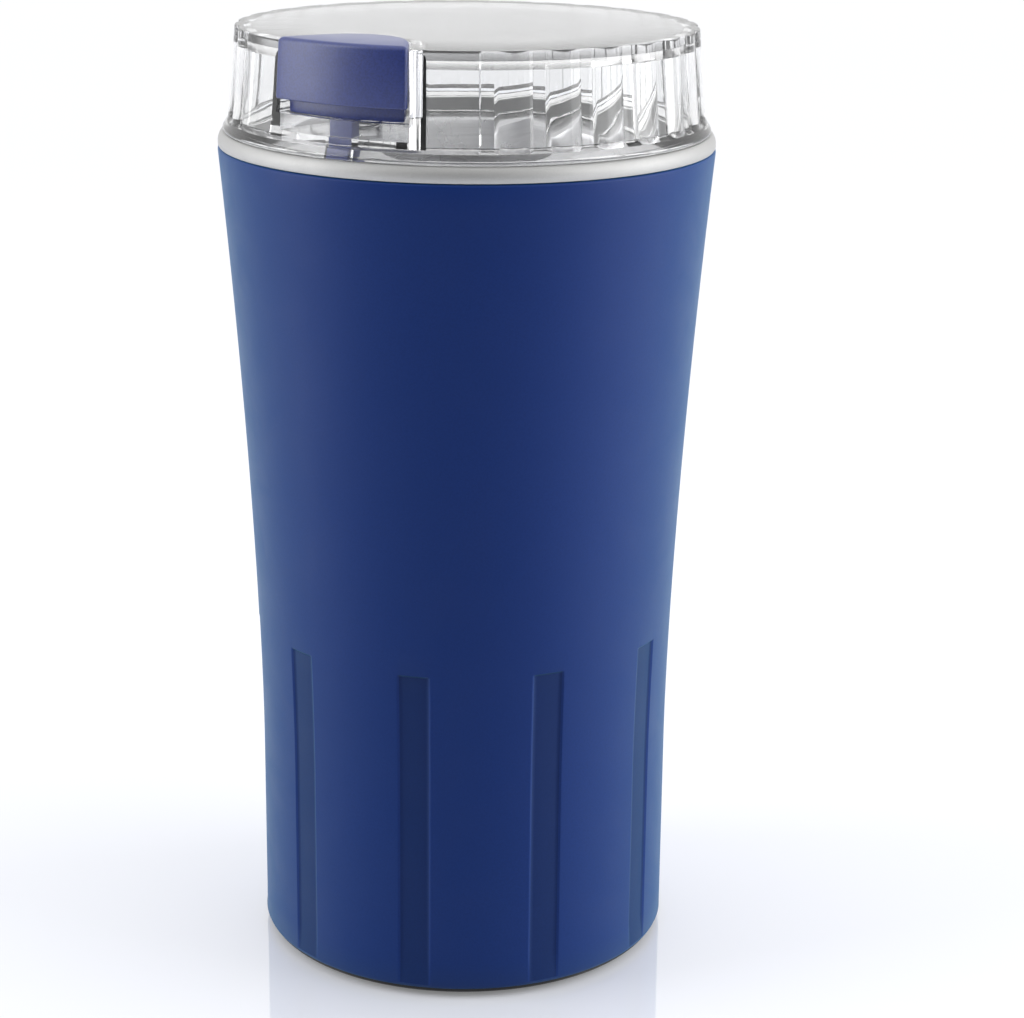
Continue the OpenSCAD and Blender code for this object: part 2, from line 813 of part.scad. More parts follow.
module lid_inside() {
    roof = lid_top - lid_wall;
    high_r = wall_high_r - lid_wall;
    mouth_r = 44;
    rotate_extrude()
        polygon([[0, skirt_z - over], [mouth_r, skirt_z - over], [mouth_r, flange_z + 0.6],
            [wall_low_r - lid_wall, flange_top + 0.8], [lid_r(flange_top + 6) - lid_wall, flange_top + 6],
            [high_r, roof - 1], [high_r - 1, roof], [0, roof]]);
}

// Plan of the button and its pocket: round at the back, straight sides that spread to the front
module button_plan(grow) {
    r = back_r + grow;
    bend_x = r * cos(side_lean);
    bend_y = arc_y + r * sin(side_lean);
    front_x = bend_x + (bend_y + 60) * tan(side_lean);
    translate([0, arc_y])
        circle(r = r);
    polygon([[-front_x, -60], [front_x, -60], [bend_x, bend_y], [-bend_x, bend_y]]);
}

module lid_shell() color([0.85, 0.9, 0.93, 0.4]) {
    tilt = atan((wall_low_r - wall_high_r) / (lid_top - lid_bend - flange_top));
    floor_top = pocket_floor + pocket_floor_t;
    difference() {
        union() {
            difference() {
                union() {
                    lid_outline();
                    tube(45.8, 40, skirt_z, flange_z + over);
                }
                lid_inside();
            }
            // Pocket of the button
            intersection() {
                lid_outline();
                translate([0, 0, pocket_floor])
                    linear_extrude(30)
                        button_plan(pocket_gap + pocket_wall);
            }
        }
        translate([0, 0, sill_z])
            linear_extrude(30)
                button_plan(pocket_gap);
        translate([0, 0, floor_top])
            linear_extrude(sill_z - floor_top + over)
                intersection() {
                    button_plan(pocket_gap);
                    circle(r = sill_r);
                }
        // Ways through for the stem and the rod's head
        block(stem_w + 0.6, stem_y[0] - 0.3, stem_y[1] + 0.3, pocket_floor - over, floor_top + over);
        block(stem_w + 0.6, stem_y[0] - 0.3, -38, skirt_z - over, pocket_floor);
        // Flutes around the wall
        at_angles([3 * flute_pitch:flute_pitch:360 - 3 * flute_pitch])
            translate([-flute_w / 2, -wall_low_r, flange_top])
                rotate([-tilt, 0, 0])
                    translate([0, -2.4, 0.6])
                        cube([flute_w, 3, 20]);
    }
}

module button_cap() color([0.16, 0.22, 0.5]) {
    face_low = 47.9;
    face_high = 47.1;
    bend = 1.8;
    roof = button_top - 2.1;
    face = [[face_low - 0.4, button_low], [face_low, button_low + 0.4]];
    edge = [for (a = [0:15:90]) [face_high - bend * (1 - cos(a)), button_top - bend * (1 - sin(a))]];
    difference() {
        union() {
            intersection() {
                translate([0, 0, button_low])
                    linear_extrude(20)
                        button_plan(0);
                rotate_extrude()
                    polygon(concat([[0, button_low]], face, edge, [[0, button_top]]));
            }
            translate([0, 0, skirt_low])
                linear_extrude(button_low - skirt_low + over)
                    intersection() {
                        button_plan(-skirt_inset);
                        circle(r = -stem_y[0]);
                    }
        }
        translate([0, 0, skirt_low - over])
            linear_extrude(roof - skirt_low + over)
                intersection() {
                    button_plan(-skirt_inset - 1.8);
                    circle(r = -stem_y[0] - 2);
                }
        block(stem_w, stem_y[0], stem_y[1], skirt_low - over, stem_high);
    }
    // Post inside the spring
    translate([0, spring_y, skirt_low + 0.6])
        cylinder(r = 2.4, h = roof - skirt_low);
}

module button_stem() color([0.14, 0.2, 0.46]) {
    block(stem_w, stem_y[0], stem_y[1], stem_low, stem_high);
}

module button_spring() color(steel) {
    floor_top = pocket_floor + pocket_floor_t;
    translate([0, spring_y, floor_top])
        coil(3.4, 0.35, button_top - 2.1 - floor_top, 5);
}

// ---- order of drawing ----

outer_casing();
base_cover();
foot(-45);  // foot_front_left
foot(45);  // foot_front_right
foot(-135);  // foot_rear_left
foot(135);  // foot_rear_right
base_screws();
rim_ring();
bowl();
bowl_carrier();
shaft_seal();
cord_grommet();
cord_clamp();
clamp_screws();
terminal_block();
suppressor();
stator_core();
field_coil(-1);  // field_coil_left
field_coil(1);  // field_coil_right
upper_bracket();
lower_bracket();
bearing(upper_bearing_z);  // upper_bearing
bearing(lower_bearing_z);  // lower_bearing
motor_mounts();
mount_screws();
bracket_screws();
brush_holder(-1);  // brush_holder_left
brush_holder(1);  // brush_holder_right
carbon_brush(-1);  // carbon_brush_left
carbon_brush(1);  // carbon_brush_right
brush_spring(-1);  // brush_spring_left
brush_spring(1);  // brush_spring_right
micro_switch();
switch_screws();
thermal_cutout();
switch_leads();
motor_leads();
rod_spring();
lid_shell();
button_spring();
button_cap();
button_stem();
switch_rod();
switch_plunger();
drive_shaft();
armature_core();
armature_windings();
commutator();
cooling_fan();
blade_hub();
blade();
blade_nut();
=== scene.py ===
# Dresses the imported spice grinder: casing, ring, clear lid, push button, bowl, springs and all finishes.
# Lengths in the dictionaries are millimetres, and angles are degrees counted from the button.
import math
import bpy
import numpy as np
from types import SimpleNamespace
from mathutils import Matrix, Vector


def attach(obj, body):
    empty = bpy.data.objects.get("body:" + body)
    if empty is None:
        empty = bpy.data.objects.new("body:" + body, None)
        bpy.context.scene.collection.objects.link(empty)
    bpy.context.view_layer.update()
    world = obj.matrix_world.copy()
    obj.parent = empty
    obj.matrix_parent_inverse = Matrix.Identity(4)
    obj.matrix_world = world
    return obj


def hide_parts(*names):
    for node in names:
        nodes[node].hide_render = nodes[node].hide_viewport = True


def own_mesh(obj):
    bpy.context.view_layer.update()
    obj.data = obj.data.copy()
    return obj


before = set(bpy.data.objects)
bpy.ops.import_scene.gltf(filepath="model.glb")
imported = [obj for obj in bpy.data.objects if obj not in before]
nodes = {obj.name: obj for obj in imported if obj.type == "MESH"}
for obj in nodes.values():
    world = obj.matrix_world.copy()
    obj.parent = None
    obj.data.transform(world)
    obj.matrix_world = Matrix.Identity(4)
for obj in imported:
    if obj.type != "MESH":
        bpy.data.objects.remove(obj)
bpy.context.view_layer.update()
mm = 0.001
touch = 0.01   # places closer than this are taken as the same

# Camera: round to the right of the button, looking a little down
cameraSpec = {
    "azimuth": 31.4,     # round from the button, towards +X
    "distance": 520.0,   # from the motor's axis
    "height": 248.6,
    "tilt": 16.79,
    "yaw": 1.08,
    "roll": 0.61,
    "lens": 90.95,
}


def placeCamera(spec):
    tilt, yaw, roll = (math.radians(spec[key]) for key in ("tilt", "yaw", "roll"))
    forward = Vector((math.sin(yaw) * math.cos(tilt), math.cos(yaw) * math.cos(tilt), -math.sin(tilt)))
    level = Vector((math.cos(yaw), -math.sin(yaw), 0))
    upward = level.cross(forward)
    right = math.cos(roll) * level + math.sin(roll) * upward
    up = -math.sin(roll) * level + math.cos(roll) * upward
    pose = Matrix((right, up, -forward)).transposed().to_4x4()
    pose.translation = Vector((0, -spec["distance"], spec["height"])) * mm
    lens = bpy.data.cameras.new("studioCamera")
    lens.lens = spec["lens"]
    lens.sensor_width = 36
    lens.clip_start = 0.01
    eye = bpy.data.objects.new("studioCamera", lens)
    bpy.context.scene.collection.objects.link(eye)
    eye.matrix_world = Matrix.Rotation(math.radians(spec["azimuth"]), 4, "Z") @ pose
    bpy.context.scene.camera = eye


placeCamera(cameraSpec)
print("camera placed")


def deselectAll():
    if bpy.context.object and bpy.context.object.mode != "OBJECT":
        bpy.ops.object.mode_set(mode="OBJECT")
    bpy.ops.object.select_all(action="DESELECT")


def takeUp(piece):  # the only selected object, and the active one
    deselectAll()
    piece.select_set(True)
    bpy.context.view_layer.objects.active = piece


def namePiece(name):
    piece = bpy.context.object
    piece.name = piece.data.name = name
    return piece


def places(mesh, kind):  # where each vert, edge or face is: x, y, z, distance from the axis and turn round it
    flat = np.empty(len(mesh.vertices) * 3)
    mesh.vertices.foreach_get("co", flat)
    points = flat.reshape(-1, 3) / mm
    if kind == "EDGE":
        ends = np.empty(len(mesh.edges) * 2, int)
        mesh.edges.foreach_get("vertices", ends)
        points = points[ends.reshape(-1, 2)].mean(1)
    if kind == "FACE":
        flat = np.empty(len(mesh.polygons) * 3)
        mesh.polygons.foreach_get("center", flat)
        points = flat.reshape(-1, 3) / mm
    x, y, z = points.T
    return SimpleNamespace(x=x, y=y, z=z, r=np.hypot(x, y), turn=np.degrees(np.arctan2(x, -y)))


def pick(piece, kind, test):  # leaves the piece in edit mode with what passes the test selected
    takeUp(piece)
    mesh = piece.data
    parts = {"VERT": mesh.vertices, "EDGE": mesh.edges, "FACE": mesh.polygons}
    for part in parts.values():
        part.foreach_set("select", np.zeros(len(part), bool))
    parts[kind].foreach_set("select", test(places(mesh, kind)))
    bpy.context.tool_settings.mesh_select_mode = [key == kind for key in parts]
    bpy.ops.object.mode_set(mode="EDIT")


def cleanMesh(piece):  # doubles merged first, then normals outwards
    takeUp(piece)
    bpy.ops.object.mode_set(mode="EDIT")
    bpy.ops.mesh.select_all(action="SELECT")
    bpy.ops.mesh.remove_doubles(threshold=0.002 * mm)
    bpy.ops.mesh.normals_make_consistent(inside=False)
    bpy.ops.object.mode_set(mode="OBJECT")


def profileArc(centre, radius, angles):  # points of a profile round a centre, by angles from the level
    turns = [math.radians(angle) for angle in angles]
    return [(centre[0] + radius * math.cos(turn), centre[1] + radius * math.sin(turn)) for turn in turns]


def profileEdge(radius, height, offsets):  # points of a profile by how far in and how far up they are
    return [(radius - inward, height + upward) for inward, upward in offsets]


# Draws a profile of (radius, height) points with extrudes and spins it; closed joins its ends
def turnPiece(name, profile, steps, closed=True):
    deselectAll()
    bpy.ops.mesh.primitive_plane_add(size=mm)
    piece = namePiece(name)
    bpy.ops.object.mode_set(mode="EDIT")
    bpy.ops.mesh.select_mode(type="VERT")
    bpy.ops.mesh.select_all(action="SELECT")
    bpy.ops.mesh.merge(type="CENTER")
    spots = [Vector((r, 0, z)) * mm for r, z in (profile + profile[:1] if closed else profile)]
    bpy.ops.transform.translate(value=spots[0])
    for here, there in zip(spots, spots[1:]):
        bpy.ops.mesh.extrude_vertices_move(TRANSFORM_OT_translate={"value": there - here})
    bpy.ops.mesh.select_all(action="SELECT")
    bpy.ops.mesh.remove_doubles(threshold=0.001 * mm)
    bpy.ops.mesh.spin(steps=steps, angle=2 * math.pi, center=(0, 0, 0), axis=(0, 0, 1))
    cleanMesh(piece)
    return piece


def blockPiece(name, width, deep, tall):  # centred across X; deep is its reach along Y, and tall along Z
    deselectAll()
    middle = Vector((0, sum(deep) / 2, sum(tall) / 2)) * mm
    sides = Vector((width, deep[1] - deep[0], tall[1] - tall[0])) * mm
    bpy.ops.mesh.primitive_cube_add(size=1, location=middle, scale=sides)
    bpy.ops.object.transform_apply(location=True, rotation=True, scale=True)
    return namePiece(name)


def rodPiece(name, radius, start, end, sides=64):  # straight rod between two points
    deselectAll()
    start, end = Vector(start) * mm, Vector(end) * mm
    turned = (end - start).to_track_quat("Z", "Y").to_euler()
    bpy.ops.mesh.primitive_cylinder_add(vertices=sides, radius=radius * mm, depth=(end - start).length,
                                        location=(start + end) / 2, rotation=turned)
    bpy.ops.object.transform_apply(location=True, rotation=True, scale=True)
    return namePiece(name)


def combine(piece, others, operation="DIFFERENCE"):
    others = others if isinstance(others, list) else [others]
    tools = bpy.data.collections.new("tools")
    for other in others:
        tools.objects.link(other)
    takeUp(piece)
    step = piece.modifiers.new("combine", "BOOLEAN")
    step.operation = operation
    step.solver = "MANIFOLD"
    step.operand_type = "COLLECTION"
    step.collection = tools
    bpy.ops.object.modifier_apply(modifier=step.name)
    for other in others:
        bpy.data.objects.remove(other)
    bpy.data.collections.remove(tools)
    return piece


def soften(piece, width, segments, angle):  # rounds the edges sharper than the angle
    takeUp(piece)
    step = piece.modifiers.new("soften", "BEVEL")
    step.width = width * mm
    step.segments = segments
    step.limit_method = "ANGLE"
    step.angle_limit = math.radians(angle)
    step.miter_outer = "MITER_ARC"
    step.use_clamp_overlap = True
    bpy.ops.object.modifier_apply(modifier=step.name)
    return piece


def finishPiece(piece, body, stoodFor, material, angle=32):
    takeUp(piece)
    bpy.ops.object.shade_smooth_by_angle(angle=math.radians(angle))
    piece.data.materials.clear()
    piece.data.materials.append(material)
    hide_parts(stoodFor)
    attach(piece, body)
    print("made", piece.name, len(piece.data.polygons), "faces")
    return piece


def addNode(tree, kind, inputs=None, **settings):
    node = tree.nodes.new("ShaderNode" + kind)
    for key, value in settings.items():
        setattr(node, key, value)
    for key, value in (inputs or {}).items():
        if isinstance(value, bpy.types.NodeSocket):
            tree.links.new(value, node.inputs[key])
        else:
            node.inputs[key].default_value = value
    return node


def addMath(tree, operation, *values):
    return addNode(tree, "Math", dict(enumerate(values)), operation=operation).outputs[0]


def addRange(tree, value, given, made):  # carries the given range of a value over to the made one
    return addNode(tree, "MapRange", {"Value": value, "From Min": given[0], "From Max": given[1],
                                      "To Min": made[0], "To Max": made[1]}).outputs[0]


def shadeMix(tree, mask, off, on):  # the first colour where the mask is 0, the second where it is 1
    return addNode(tree, "Mix", {"Factor": mask, 6: off, 7: on}, data_type="RGBA").outputs[2]


def startGroup(name, inputs, outputs):
    group = bpy.data.node_groups.new(name, "ShaderNodeTree")
    for label, value in inputs.items():
        kind = "NodeSocketFloat" if isinstance(value, (int, float)) else "NodeSocketColor"
        group.interface.new_socket(name=label, in_out="INPUT", socket_type=kind).default_value = value
    for label, kind in outputs.items():
        group.interface.new_socket(name=label, in_out="OUTPUT", socket_type="NodeSocket" + kind)
    return group, group.nodes.new("NodeGroupInput").outputs, group.nodes.new("NodeGroupOutput").inputs


def perMetre(tree, size):  # turns a size in millimetres into a texture scale
    return addMath(tree, "DIVIDE", 1000.0, size)


def spotNoise(group, size, **settings):  # noise over the piece's own coordinates, by a size in millimetres
    spot = addNode(group, "TexCoord").outputs["Object"]
    return addNode(group, "TexNoise", {"Vector": spot, "Scale": perMetre(group, size), **settings}).outputs[0]


# Fine moulded grain: two sizes of noise as a height, and a mask of its pits
def makeGrainGroup():
    group, given, made = startGroup("mouldedGrain", {"Size": 0.5, "Broad": 0.3},
                                    {"Height": "Float", "Mask": "Float"})
    fine = spotNoise(group, given["Size"], Detail=2.0, Roughness=0.6)
    broad = spotNoise(group, addMath(group, "MULTIPLY", given["Size"], 3.5), Detail=1.0)
    height = addNode(group, "Mix", {"Factor": given["Broad"], "A": fine, "B": broad}).outputs[0]
    group.links.new(height, made["Height"])
    group.links.new(addRange(group, fine, (0.38, 0.6), (0.0, 1.0)), made["Mask"])
    return group


# Slow change of shade over a surface
def makeToneGroup():
    group, given, made = startGroup("slowTone", {"Colour": (0.5, 0.5, 0.5, 1), "Amount": 0.1, "Size": 30.0},
                                    {"Colour": "Color"})
    noise = spotNoise(group, given["Size"], Detail=3.0, Roughness=0.55)
    drift = addRange(group, noise, (0.25, 0.75), (-0.5, 0.5))
    gain = addMath(group, "MULTIPLY_ADD", drift, given["Amount"], 1.0)
    tone = addNode(group, "HueSaturation", {"Value": gain, "Color": given["Colour"]})
    group.links.new(tone.outputs[0], made["Colour"])
    return group


# Roughness that wanders between two values, as handling and moulding leave it
def makeSmudgeGroup():
    group, given, made = startGroup("smudges", {"Low": 0.3, "High": 0.45, "Size": 12.0}, {"Rough": "Float"})
    noise = spotNoise(group, given["Size"], Detail=5.0, Roughness=0.62, Distortion=0.4)
    group.links.new(addRange(group, noise, (0.32, 0.68), (given["Low"], given["High"])), made["Rough"])
    return group


# Turned or brushed lines that run round the Z axis
def makeBrushedGroup():
    group, given, made = startGroup("brushedRound", {"Spacing": 0.25, "Length": 1.2},
                                    {"Height": "Float", "Streak": "Float"})
    spot = addNode(group, "SeparateXYZ", {0: addNode(group, "TexCoord").outputs["Object"]}).outputs
    flat = addNode(group, "CombineXYZ", {0: spot[0], 1: spot[1], 2: 0.0}).outputs[0]
    radius = addNode(group, "VectorMath", {0: flat}, operation="LENGTH").outputs["Value"]
    heading = addNode(group, "VectorMath", {0: flat}, operation="NORMALIZE").outputs[0]
    slow = addNode(group, "VectorMath", {0: heading, "Scale": given["Length"]}, operation="SCALE").outputs[0]
    split = addNode(group, "SeparateXYZ", {0: slow}).outputs
    pitch = perMetre(group, given["Spacing"])
    across = addMath(group, "MULTIPLY", radius, pitch)
    along = addMath(group, "MULTIPLY", spot[2], pitch)
    place = addNode(group, "CombineXYZ", {0: split[0], 1: split[1], 2: across}).outputs[0]
    noise = addNode(group, "TexNoise", {"Vector": place, "W": along, "Scale": 1.0, "Detail": 2.0,
                                        "Roughness": 0.7}, noise_dimensions="4D").outputs[0]
    group.links.new(noise, made["Height"])
    group.links.new(addRange(group, noise, (0.3, 0.7), (0.0, 1.0)), made["Streak"])
    return group


# Layers along one direction: sheets of iron or turns of wire
def makeLayerGroup():
    group, given, made = startGroup("layers", {"Pitch": 0.5, "Along X": 0.0, "Along Y": 0.0, "Along Z": 1.0},
                                    {"Height": "Float", "Gap": "Float"})
    spot = addNode(group, "TexCoord").outputs["Object"]
    along = {i: given["Along " + axis] for i, axis in enumerate("XYZ")}
    heading = addNode(group, "CombineXYZ", along).outputs[0]
    far = addNode(group, "VectorMath", {0: spot, 1: heading}, operation="DOT_PRODUCT").outputs["Value"]
    count = addMath(group, "MULTIPLY", far, perMetre(group, given["Pitch"]))
    height = addMath(group, "SINE", addMath(group, "MULTIPLY", count, 2 * math.pi))
    group.links.new(height, made["Height"])
    group.links.new(addRange(group, height, (-1.0, -0.5), (1.0, 0.0)), made["Gap"])
    return group


groups = {
    "grain": makeGrainGroup(),
    "tone": makeToneGroup(),
    "smudges": makeSmudgeGroup(),
    "brushed": makeBrushedGroup(),
    "layers": makeLayerGroup(),
}


def placeGroup(tree, key, inputs):
    node = tree.nodes.new("ShaderNodeGroup")
    node.node_tree = groups[key]
    for label, value in inputs.items():
        node.inputs[label].default_value = value
    return node.outputs


def bumpFrom(tree, height, depth, normal=None):
    node = addNode(tree, "Bump", {"Height": height, "Strength": 1.0, "Distance": depth * mm})
    if normal:
        tree.links.new(normal, node.inputs["Normal"])
    return node.outputs[0]


# One finish: colour with its drift, wandering roughness, and either grain, brushing or layers as relief
def makeFinish(name, spec):
    made = bpy.data.materials.new(name)
    made.use_nodes = True
    tree = made.node_tree
    shader = tree.nodes["Principled BSDF"]
    low, high = spec["rough"]
    driftSize, smudgeSize = spec.get("driftSize", 30.0), spec.get("smudgeSize", 12.0)
    colour = placeGroup(tree, "tone", {"Colour": (*spec["colour"], 1), "Amount": spec["drift"],
                                       "Size": driftSize})["Colour"]
    rough = placeGroup(tree, "smudges", {"Low": low, "High": high, "Size": smudgeSize})["Rough"]
    relief = None

    def darker(share):
        return (*[c * share for c in spec["colour"]], 1)

    if "layers" in spec:
        pitch, heading, depth, gapShade = spec["layers"]
        layers = placeGroup(tree, "layers", {"Pitch": pitch, "Along X": heading[0], "Along Y": heading[1],
                                             "Along Z": heading[2]})
        colour = shadeMix(tree, layers["Gap"], colour, darker(gapShade))
        relief = bumpFrom(tree, layers["Height"], depth)
    if "brushed" in spec:
        spacing, length, depth, shade = spec["brushed"]
        lines = placeGroup(tree, "brushed", {"Spacing": spacing, "Length": length})
        colour = shadeMix(tree, lines["Streak"], darker(shade), colour)
        relief = bumpFrom(tree, lines["Height"], depth, relief)
    if "grain" in spec:
        size, depth, pitShade = spec["grain"]
        grain = placeGroup(tree, "grain", {"Size": size})
        colour = shadeMix(tree, grain["Mask"], darker(pitShade), colour)
        relief = bumpFrom(tree, grain["Height"], depth, relief)
    if "sunk" in spec:   # faces marked as sunk are darker and duller
        shade, dull = spec["sunk"]
        marked = addNode(tree, "Attribute", attribute_name="sunk").outputs["Fac"]
        gain = addRange(tree, marked, (0.0, 1.0), (1.0, shade))
        colour = addNode(tree, "HueSaturation", {"Value": gain, "Color": colour}).outputs[0]
        rough = addMath(tree, "MULTIPLY_ADD", marked, dull, rough)
    tree.links.new(colour, shader.inputs["Base Color"])
    tree.links.new(rough, shader.inputs["Roughness"])
    tree.links.new(relief, shader.inputs["Normal"])
    for label, value in spec["shader"].items():
        shader.inputs[label].default_value = value
    return made


# grain: size, depth, shade of its pits; brushed: spacing, length, depth, shade of its lines;
# layers: pitch, direction, depth, shade of the gaps; sunk: shade and extra roughness of sunk faces
finishes = {
    "casingBlue": {"colour": (0.0093, 0.039, 0.25), "drift": 0.06, "driftSize": 45.0, "rough": (0.4, 0.47),
                   "sunk": (0.68, 0.06), "grain": (0.45, 0.006, 0.93),
                   "shader": {"IOR": 1.5, "Specular IOR Level": 0.25, "Sheen Weight": 0.22,
                              "Sheen Roughness": 0.5, "Sheen Tint": (0.15, 0.95, 1.0, 1)}},
    "buttonBlue": {"colour": (0.025, 0.052, 0.29), "drift": 0.05, "rough": (0.34, 0.41),
                   "grain": (0.42, 0.03, 0.72),
                   "shader": {"IOR": 1.5, "Specular IOR Level": 0.95, "Sheen Weight": 0.3,
                              "Sheen Roughness": 0.35}},
    "ringSilver": {"colour": (0.56, 0.56, 0.555), "drift": 0.03, "rough": (0.6, 0.66),
                   "grain": (0.2, 0.003, 0.95), "shader": {"Metallic": 1.0}},
    "bowlSteel": {"colour": (0.74, 0.74, 0.75), "drift": 0.04, "rough": (0.25, 0.33), "smudgeSize": 18.0,
                  "brushed": (0.16, 1.6, 0.006, 0.86), "shader": {"Metallic": 1.0}},
    "bladeSteel": {"colour": (0.66, 0.66, 0.67), "drift": 0.05, "rough": (0.16, 0.26),
                   "brushed": (0.12, 2.0, 0.004, 0.85), "shader": {"Metallic": 1.0}},
    "zincSteel": {"colour": (0.5, 0.5, 0.51), "drift": 0.12, "driftSize": 4.0, "rough": (0.3, 0.42),
                  "grain": (0.3, 0.004, 0.9), "shader": {"Metallic": 1.0}},
    "blackPlastic": {"colour": (0.022, 0.022, 0.024), "drift": 0.1, "rough": (0.42, 0.56),
                     "grain": (0.4, 0.02, 0.8), "shader": {"IOR": 1.5}},
    "framePlastic": {"colour": (0.08, 0.085, 0.09), "drift": 0.12, "rough": (0.5, 0.62),
                     "grain": (0.5, 0.015, 0.85), "shader": {"IOR": 1.5}},
    "whitePlastic": {"colour": (0.74, 0.73, 0.68), "drift": 0.05, "rough": (0.35, 0.45),
                     "grain": (0.6, 0.006, 0.96), "shader": {"IOR": 1.5}},
    "blackRubber": {"colour": (0.028, 0.028, 0.03), "drift": 0.15, "rough": (0.66, 0.82),
                    "grain": (0.55, 0.03, 0.75), "shader": {"IOR": 1.45}},
    "coreIron": {"colour": (0.2, 0.2, 0.21), "drift": 0.3, "driftSize": 6.0, "rough": (0.38, 0.55),
                 "layers": (0.5, (0, 0, 1), 0.04, 0.35), "shader": {"Metallic": 1.0}},
    "windingCopper": {"colour": (0.5, 0.17, 0.06), "drift": 0.15, "driftSize": 5.0, "rough": (0.2, 0.34),
                      "layers": (0.55, (0.35, 0.1, 0.93), 0.12, 0.3),
                      "shader": {"Metallic": 0.9, "Coat Weight": 0.5}},
    "commutatorCopper": {"colour": (0.6, 0.26, 0.11), "drift": 0.15, "rough": (0.22, 0.36),
                         "brushed": (0.2, 2.0, 0.006, 0.75), "shader": {"Metallic": 1.0}},
    "bearingBronze": {"colour": (0.45, 0.3, 0.12), "drift": 0.2, "driftSize": 5.0, "rough": (0.35, 0.5),
                      "grain": (0.35, 0.012, 0.7), "shader": {"Metallic": 1.0}},
    "bracketAlloy": {"colour": (0.5, 0.5, 0.51), "drift": 0.12, "rough": (0.42, 0.56),
                     "grain": (0.7, 0.02, 0.85), "shader": {"Metallic": 1.0}},
    "carbonBlock": {"colour": (0.025, 0.025, 0.027), "drift": 0.3, "driftSize": 2.0, "rough": (0.5, 0.62),
                    "grain": (0.25, 0.01, 0.7), "shader": {"IOR": 1.6}},
    "resinYellow": {"colour": (0.6, 0.36, 0.03), "drift": 0.08, "rough": (0.2, 0.3),
                    "grain": (1.5, 0.02, 0.95), "shader": {"IOR": 1.55}},
    "leadRed": {"colour": (0.42, 0.02, 0.015), "drift": 0.08, "rough": (0.32, 0.42),
                "grain": (0.8, 0.01, 0.9), "shader": {"IOR": 1.5}},
    "leadBlue": {"colour": (0.02, 0.07, 0.4), "drift": 0.08, "rough": (0.32, 0.42),
                 "grain": (0.8, 0.01, 0.9), "shader": {"IOR": 1.5}},
}
materials = {name: makeFinish(name, spec) for name, spec in finishes.items()}

clearSpec = {
    "tint": (0.99, 0.993, 0.997), "drift": (0.01, 20.0), "ior": 1.5, "clear": 0.97,
    "rough": (0.0, 0.02), "smudgeSize": 9.0,
    "ripple": (7.0, 0.02),             # size and depth
    "satin": 0.17,                     # extra roughness of the top's outer face
    "satinHeights": (192.15, 192.35),  # over which it sets in
}


def makeClearPlastic(spec):
    made = bpy.data.materials.new("clearPlastic")
    made.use_nodes = True
    tree = made.node_tree
    shader = tree.nodes["Principled BSDF"]
    low, high = spec["rough"]
    amount, driftSize = spec["drift"]
    tone = placeGroup(tree, "tone", {"Colour": (*spec["tint"], 1), "Amount": amount, "Size": driftSize})
    rough = placeGroup(tree, "smudges", {"Low": low, "High": high, "Size": spec["smudgeSize"]})
    height = addNode(tree, "SeparateXYZ", {0: addNode(tree, "TexCoord").outputs["Object"]}).outputs[2]
    satin = addRange(tree, height, [z * mm for z in spec["satinHeights"]], (0.0, spec["satin"]))
    size, depth = spec["ripple"]
    ripple = placeGroup(tree, "grain", {"Size": size, "Broad": 0.5})
    tree.links.new(tone["Colour"], shader.inputs["Base Color"])
    tree.links.new(addMath(tree, "ADD", rough["Rough"], satin), shader.inputs["Roughness"])
    tree.links.new(bumpFrom(tree, ripple["Height"], depth), shader.inputs["Normal"])
    shader.inputs["IOR"].default_value = spec["ior"]
    shader.inputs["Transmission Weight"].default_value = spec["clear"]
    return made


materials["clearPlastic"] = makeClearPlastic(clearSpec)
print("finishes made", len(materials))

casingSpec = {
    "baseR": 42.9, "rimR": 50.0, "bottom": 1.8, "top": 168.5,
    "flareStart": 44.0, "flarePower": 1.6, "flareSteps": 24, "wall": 2.2,
    "innerRings": (160, 150, 140, 130, 115, 100, 85, 70, 44),
    "hem": ((1.0, 0), (0.3, 0.3), (0, 1.0)),                              # in and up from the lower edge
    "rimEdge": ((0.05, -0.6), (0.12, -0.28), (0.3, -0.08), (0.55, 0)),    # in and up from the upper edge
    "grooves": 10, "grooveWidth": 6.6, "grooveDepth": 0.42, "grooveTop": 70.0, "grooveSlope": 0.5,
    "grooveFoot": (2.8, 8.0),                      # where it starts to sink, and where it is full depth
    "bank": (0.2, 0.7), "bankShare": 0.6,          # degrees in from its edge, and the share of depth between
    "shadeInset": 0.4, "shadeDepth": (0.1, 1.0),   # its darker floor: degrees in from its edge, and depths
    "softEdge": 0.16, "softAngle": 24,
    "inletZ": 17.0, "inletR": 5.0, "inletY": (30, 50), "seatR": 6.6, "seatDepth": 0.6,
    "steps": 720,
}


def casingRadius(z, spec):
    rise = np.maximum(0, (z - spec["flareStart"]) / (spec["top"] - spec["flareStart"]))
    return spec["baseR"] + (spec["rimR"] - spec["baseR"]) * rise ** spec["flarePower"]


